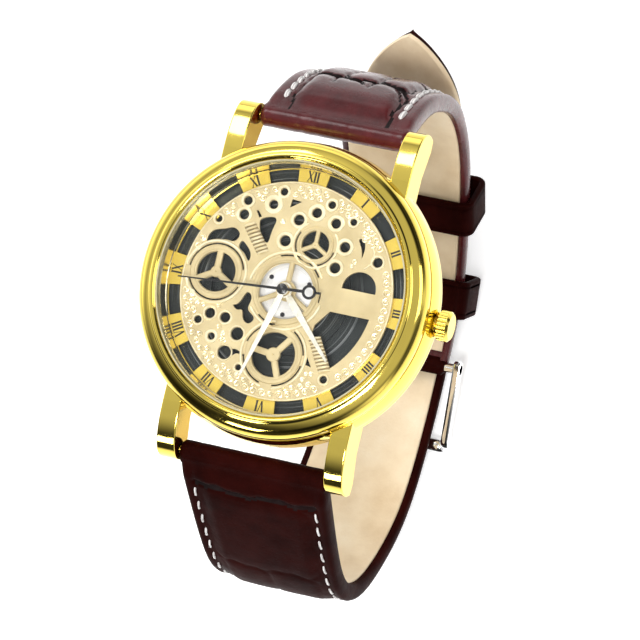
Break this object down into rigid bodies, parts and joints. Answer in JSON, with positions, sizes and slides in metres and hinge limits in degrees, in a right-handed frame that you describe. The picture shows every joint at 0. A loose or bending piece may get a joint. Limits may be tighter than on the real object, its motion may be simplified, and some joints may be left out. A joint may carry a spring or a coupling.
{
  "type": "skeleton wristwatch",
  "caption": "Round gold-tone wristwatch with a pierced skeleton dial, small quartz movement, slim hands and a buckled stitched leather strap.",
  "frame": {"origin": "centre of the case back's outer flat face", "axes": "+Z out through the crystal, +X towards 3 o'clock and the crown, +Y towards 12 o'clock"},
  "size_m": [0.0424, 0.0792, 0.0626],
  "materials": {
    "case_gold": "mirror-polished gold-tone plating",
    "flange_gold": "polished gold-tone ring inside the crystal",
    "hour_block_gold": "polished gold-tone hour blocks",
    "dial_champagne": "frosted champagne gold with fine engraving",
    "crystal_glass": "clear polished mineral glass",
    "gasket_nylon": "translucent white nylon",
    "gasket_rubber": "black rubber",
    "movement_dark": "dark grey, fine circular brushing",
    "movement_steel": "fine grained nickel-plated steel",
    "screw_dark": "blackened steel",
    "screw_steel": "polished steel",
    "battery_steel": "bright stainless can",
    "circuit_green": "lacquered circuit board",
    "coil_copper": "enamelled copper wire",
    "stator_iron": "annealed soft iron",
    "back_steel": "circular-brushed stainless steel",
    "arbor_steel": "polished steel",
    "rotor_magnet": "sintered magnet with moulded pinion",
    "gear_brass": "cut brass",
    "hand_white": "pale polished hands",
    "hand_black": "gloss black",
    "strap_leather": "glossy dark burgundy, crocodile-grain embossed, stitched",
    "strap_lining": "matt beige lining",
    "buckle_steel": "polished steel"
  },
  "bodies": {
    "watch_head_and_strap": {"mid_case": "case_gold", "bezel": "case_gold", "flange_ring": "flange_gold", "hour_ring": "hour_block_gold", "skeleton_dial": "dial_champagne", "crystal": "crystal_glass", "crystal_gasket": "gasket_nylon", "movement_ring": "movement_dark", "main_plate": "movement_dark", "train_bridge": "movement_steel", "motion_cover": "movement_steel", "motion_cover_screws": "screw_dark", "bridge_screws": "screw_steel", "battery": "battery_steel", "battery_clamp": "movement_steel", "circuit_board": "circuit_green", "quartz_crystal": "battery_steel", "drive_coil": "coil_copper", "stator": "stator_iron", "case_back": "back_steel", "case_back_gasket": "gasket_rubber", "crown_tube": "movement_steel", "strap_12_leather": "strap_leather", "strap_12_lining": "strap_lining", "strap_6_leather": "strap_leather", "strap_6_lining": "strap_lining", "fixed_keeper": "strap_leather", "spring_bar_12": "arbor_steel", "spring_bar_6": "arbor_steel", "buckle_bar": "buckle_steel"},
    "crown_slider": {"crown_gasket": "gasket_rubber"},
    "crown": {"crown": "case_gold", "stem": "arbor_steel"},
    "sliding_pinion": {"sliding_pinion": "arbor_steel"},
    "setting_lever": {"setting_lever": "arbor_steel"},
    "yoke": {"yoke": "arbor_steel"},
    "seconds": {"seconds_wheel": "gear_brass", "second_hand": "hand_black"},
    "rotor": {"rotor": "rotor_magnet"},
    "intermediate": {"intermediate_wheel": "gear_brass"},
    "third": {"third_wheel": "gear_brass"},
    "minutes": {"centre_wheel": "gear_brass", "cannon_pinion": "arbor_steel", "minute_hand": "hand_white"},
    "minute_wheel": {"minute_wheel": "gear_brass"},
    "hours": {"hour_wheel": "gear_brass", "hour_hand": "hand_white"},
    "setting_wheel": {"setting_wheel": "gear_brass"},
    "buckle_frame": {"buckle_frame": "buckle_steel"},
    "buckle_tongue": {"buckle_tongue": "buckle_steel"},
    "sliding_keeper": {"sliding_keeper": "strap_leather"},
    "spring_bar_12_pin_right": {"spring_bar_12_pin_right": "arbor_steel"},
    "spring_bar_12_pin_left": {"spring_bar_12_pin_left": "arbor_steel"},
    "spring_bar_6_pin_right": {"spring_bar_6_pin_right": "arbor_steel"},
    "spring_bar_6_pin_left": {"spring_bar_6_pin_left": "arbor_steel"}
  },
  "joints": [
    {"name": "seconds_spin", "type": "hinge", "parent": "watch_head_and_strap", "child": "seconds", "pos_m": [0, 0, 0.003], "axis": [0, 0, 1], "continuous": true},
    {"name": "rotor_spin", "type": "hinge", "parent": "watch_head_and_strap", "child": "rotor", "pos_m": [0.00302, -0.00313, 0.003], "axis": [0, 0, 1], "continuous": true},
    {"name": "intermediate_spin", "type": "hinge", "parent": "watch_head_and_strap", "child": "intermediate", "pos_m": [0.0012, -0.00208, 0.003], "axis": [0, 0, 1], "continuous": true},
    {"name": "third_spin", "type": "hinge", "parent": "watch_head_and_strap", "child": "third", "pos_m": [0, 0.0034, 0.003], "axis": [0, 0, 1], "continuous": true},
    {"name": "minutes_spin", "type": "hinge", "parent": "watch_head_and_strap", "child": "minutes", "pos_m": [0, 0, 0.003], "axis": [0, 0, 1], "continuous": true},
    {"name": "minute_wheel_spin", "type": "hinge", "parent": "watch_head_and_strap", "child": "minute_wheel", "pos_m": [0.00208, -0.0012, 0.003], "axis": [0, 0, 1], "continuous": true},
    {"name": "hours_spin", "type": "hinge", "parent": "watch_head_and_strap", "child": "hours", "pos_m": [0, 0, 0.003], "axis": [0, 0, 1], "continuous": true},
    {"name": "setting_wheel_spin", "type": "hinge", "parent": "watch_head_and_strap", "child": "setting_wheel", "pos_m": [0.00461, 0, 0.003], "axis": [0, 0, 1], "continuous": true},
    {"name": "crown_pull", "type": "slide", "parent": "watch_head_and_strap", "child": "crown_slider", "axis": [1, 0, 0], "range_m": [0, 0.001]},
    {"name": "crown_turn", "type": "hinge", "parent": "crown_slider", "child": "crown", "pos_m": [0.0218, 0, 0.0027], "axis": [1, 0, 0], "continuous": true},
    {"name": "pinion_shift", "type": "slide", "parent": "crown", "child": "sliding_pinion", "axis": [1, 0, 0], "range_m": [-0.00171, 0.00001]},
    {"name": "setting_lever_turn", "type": "hinge", "parent": "watch_head_and_strap", "child": "setting_lever", "pos_m": [0.007, 0.003, 0.0027], "axis": [0, 0, 1], "range_deg": [-0.1, 22.4]},
    {"name": "yoke_turn", "type": "hinge", "parent": "watch_head_and_strap", "child": "yoke", "pos_m": [0.0047, 0.0032, 0.0027], "axis": [0, 0, 1], "range_deg": [-15, 0.1]},
    {"name": "buckle_tilt", "type": "hinge", "parent": "watch_head_and_strap", "child": "buckle_frame", "pos_m": [0, -0.0009, -0.0479], "axis": [1, 0, 0], "range_deg": [0, 6]},
    {"name": "tongue_lift", "type": "hinge", "parent": "buckle_frame", "child": "buckle_tongue", "pos_m": [0, -0.0009, -0.0479], "axis": [1, 0, 0], "range_deg": [0, 5]},
    {"name": "keeper_slide", "type": "slide", "parent": "watch_head_and_strap", "child": "sliding_keeper", "axis": [0, 0.7071, 0.7071], "range_m": [-0.003, 0.004]},
    {"name": "spring_bar_12_pin_right_press", "type": "slide", "parent": "watch_head_and_strap", "child": "spring_bar_12_pin_right", "axis": [-1, 0, 0], "range_m": [0, 0.0009], "stiffness_N_per_m": 1000, "springref_m": -0.001},
    {"name": "spring_bar_12_pin_left_press", "type": "slide", "parent": "watch_head_and_strap", "child": "spring_bar_12_pin_left", "axis": [1, 0, 0], "range_m": [0, 0.0009], "stiffness_N_per_m": 1000, "springref_m": -0.001},
    {"name": "spring_bar_6_pin_right_press", "type": "slide", "parent": "watch_head_and_strap", "child": "spring_bar_6_pin_right", "axis": [-1, 0, 0], "range_m": [0, 0.0009], "stiffness_N_per_m": 1000, "springref_m": -0.001},
    {"name": "spring_bar_6_pin_left_press", "type": "slide", "parent": "watch_head_and_strap", "child": "spring_bar_6_pin_left", "axis": [1, 0, 0], "range_m": [0, 0.0009], "stiffness_N_per_m": 1000, "springref_m": -0.001}
  ],
  "couplings": [
    {"joint": "rotor_spin", "follows": "seconds_spin", "ratio": 30},
    {"joint": "intermediate_spin", "follows": "seconds_spin", "ratio": -5},
    {"joint": "third_spin", "follows": "seconds_spin", "ratio": -0.13333},
    {"joint": "minutes_spin", "follows": "seconds_spin", "ratio": 0.016667},
    {"joint": "minute_wheel_spin", "follows": "seconds_spin", "ratio": -0.0055556},
    {"joint": "hours_spin", "follows": "seconds_spin", "ratio": 0.0013889},
    {"joint": "setting_wheel_spin", "follows": "seconds_spin", "ratio": 0.01},
    {"joint": "pinion_shift", "follows": "crown_pull", "ratio": -1.7},
    {"joint": "setting_lever_turn", "follows": "crown_pull", "rad_per_m": 387.6},
    {"joint": "yoke_turn", "follows": "crown_pull", "rad_per_m": -259.26}
  ]
}
